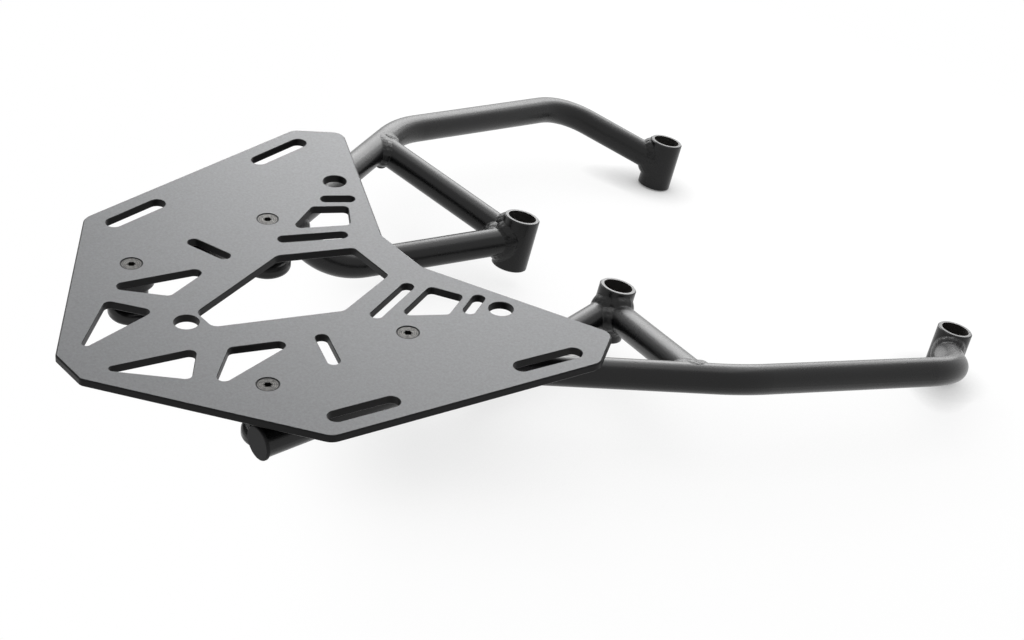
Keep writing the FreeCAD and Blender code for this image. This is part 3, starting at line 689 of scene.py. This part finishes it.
floor_material, tree = new_material("white_table")
seen = seen_rays(tree)
print("three kinds of rays see the studio white, through", len(tree.nodes), "nodes")

# %% [markdown]
# ## Shade on the floor
# The floor's shade is how much of the sky a point can't see: a wide, faint part under the whole
# rack, times a close, dark part where the outer bushes stand. Far from the rack, and on its near
# left, the floor goes over to plain white. Lamps alone would draw harder shadows than a big
# white studio does. The places and reaches here are in metres.

# %% Where the floor is plain white, and where it is in shade
FAR_FROM, FAR_TO = 0.55, 1.0
NEAR_LEFT = (-0.8, -1.0, 0.0)
LEFT_FROM, LEFT_TO = 0.04, 0.18
WIDE_REACH, SHADE_UNDER, SHADE_BESIDE = 0.40, 0.76, 0.95
CLOSE_REACH, SHADE_AT_BUSHES = 0.03, 0.12
BUSHES_FROM, BUSHES_TO = 0.18, 0.26
place = add(tree, "ShaderNodeTexCoord").outputs["Object"]
distance = add(tree, "ShaderNodeVectorMath", {"operation": "LENGTH"}, {0: place})
far = add(tree, "ShaderNodeMapRange",
          {"From Min": FAR_FROM, "From Max": FAR_TO, "interpolation_type": "SMOOTHSTEP"},
          {"Value": distance.outputs["Value"]})
leftward = add(tree, "ShaderNodeVectorMath", {"operation": "DOT_PRODUCT", 1: NEAR_LEFT},
               {0: place})
left = add(tree, "ShaderNodeMapRange",
           {"From Min": LEFT_FROM, "From Max": LEFT_TO, "interpolation_type": "SMOOTHSTEP"},
           {"Value": leftward.outputs["Value"]})
bare = add(tree, "ShaderNodeMath", {"operation": "MAXIMUM"},
           {0: far.outputs["Result"], 1: left.outputs["Result"]})
wide_sky = add(tree, "ShaderNodeAmbientOcclusion", {"Distance": WIDE_REACH, "samples": 4})
wide = add(tree, "ShaderNodeMapRange", {"To Min": SHADE_UNDER, "To Max": SHADE_BESIDE},
           {"Value": wide_sky.outputs["AO"]})
close_sky = add(tree, "ShaderNodeAmbientOcclusion", {"Distance": CLOSE_REACH, "samples": 4})
backward = add(tree, "ShaderNodeSeparateXYZ", links={"Vector": place})
contact = add(tree, "ShaderNodeMapRange", {
    "From Min": BUSHES_FROM, "From Max": BUSHES_TO, "To Min": 1.0, "To Max": SHADE_AT_BUSHES,
}, {"Value": backward.outputs["Y"]})
close = add(tree, "ShaderNodeMapRange",
            links={"Value": close_sky.outputs["AO"], "To Min": contact.outputs["Result"]})
shade = add(tree, "ShaderNodeMath", {"operation": "MULTIPLY"},
            {0: wide.outputs["Result"], 1: close.outputs["Result"]})
print("shade reaches", WIDE_REACH, "m and", CLOSE_REACH, "m")

# %% [markdown]
# ## The floor
# The glow, the shade and the paper are put together by what kind of ray asks. A thin grey paint
# on top of the glow takes the softboxes' own shadow. The floor is one square of 24 m. Far out it
# is as white as the room, so its rim doesn't show, and no curved backdrop is needed.

# %% Floor
FLOOR_REACH = 12.0
paper = add(tree, "ShaderNodeBsdfDiffuse", {"Color": linear("#e7e7e7")})
thin = add(tree, "ShaderNodeBsdfDiffuse", {"Color": linear("#4b4b4b")})
glow = add(tree, "ShaderNodeEmission", {"Color": WHITE}, {"Strength": shade.outputs["Value"]})
near = add(tree, "ShaderNodeAddShader", links={0: thin.outputs["BSDF"], 1: glow.outputs["Emission"]})
white = add(tree, "ShaderNodeEmission", {"Color": WHITE, "Strength": 1.0})
table = add(tree, "ShaderNodeMixShader", links={
    0: bare.outputs["Value"], 1: near.outputs["Shader"], 2: white.outputs["Emission"]})
shown = add(tree, "ShaderNodeMixShader", links={
    0: seen, 1: paper.outputs["BSDF"], 2: table.outputs["Shader"]})
add(tree, "ShaderNodeOutputMaterial", links={"Surface": shown.outputs["Shader"]})

corners = [(x * FLOOR_REACH, y * FLOOR_REACH, 0) for x, y in ((-1, -1), (1, -1), (1, 1), (-1, 1))]
floor_mesh = bpy.data.meshes.new("floor")
floor_mesh.from_pydata(corners, [], [(0, 1, 2, 3)])
floor_mesh.materials.append(floor_material)
floor = bpy.data.objects.new("floor", floor_mesh)
bpy.context.scene.collection.objects.link(floor)
print("floor reaches", FLOOR_REACH, "m")

# %% [markdown]
# ## Room light
# The room round the table is seen as plain white too, but only a little light comes from it. It
# lifts the darkest corners, and the softboxes do the rest. A picture of a real room could light
# it too, but then its windows would show in the tubes.

# %% Fill the room
ROOM_LEVEL = 0.06
world = bpy.data.worlds.new("studio")
world.use_nodes = True
tree = world.node_tree
tree.nodes.clear()
seen = seen_rays(tree)
room = add(tree, "ShaderNodeBackground", {"Color": WHITE, "Strength": ROOM_LEVEL})
plain = add(tree, "ShaderNodeBackground", {"Color": WHITE, "Strength": 1.0})
mixed = add(tree, "ShaderNodeMixShader", links={
    0: seen, 1: room.outputs["Background"], 2: plain.outputs["Background"]})
add(tree, "ShaderNodeOutputWorld", links={"Surface": mixed.outputs["Shader"]})
bpy.context.scene.world = world
bpy.context.scene.view_settings.view_transform = "Standard"
print("room light", ROOM_LEVEL)

# %% [markdown]
# ## Softboxes
# A large window of light stands low behind the rack and gives the tubes their long soft bands.
# Its bright core has a dimmer skirt below and a dimmer crown above, as a lit cloth has, so the
# bands fade out softly. Two small flanks lift the sides, and a wide panel hangs overhead. Each
# has its place, width, height and radiance, and faces the rack's middle.

# %% Hang the softboxes
RACK_MIDDLE = Vector((0, 0, 0.05))


def softbox(name, place, width, height, radiance):
    """A lamp that faces the rack, as a panel of this radiance: watts = pi * area * radiance."""
    light = bpy.data.lights.new(name, "AREA")
    light.shape = "RECTANGLE"
    light.size, light.size_y = width, height
    light.energy = math.pi * width * height * radiance
    lamp = bpy.data.objects.new(name, light)
    facing = (RACK_MIDDLE - Vector(place)).to_track_quat("-Z", "Y").to_matrix().to_4x4()
    lamp.matrix_world = Matrix.Translation(place) @ facing
    lamp.visible_camera = False
    bpy.context.scene.collection.objects.link(lamp)
    print(name, round(light.energy, 1), "W")


softbox("rear_core", (-0.864, 0.675, 0.748), 1.03, 0.57, 6.0)
softbox("rear_skirt", (-1.255, 1.071, 0.461), 2.2, 0.36, 2.5)
softbox("rear_crown", (-0.593, 0.862, 1.39), 1.25, 0.5, 3.0)
softbox("left_flank", (-1.393, 0.012, 1.025), 0.5, 0.55, 3.1)
softbox("right_flank", (-0.481, 1.436, 0.822), 0.6, 0.66, 2.6)
softbox("overhead", (-0.215, 0.379, 1.797), 1.6, 1.2, 1.8)
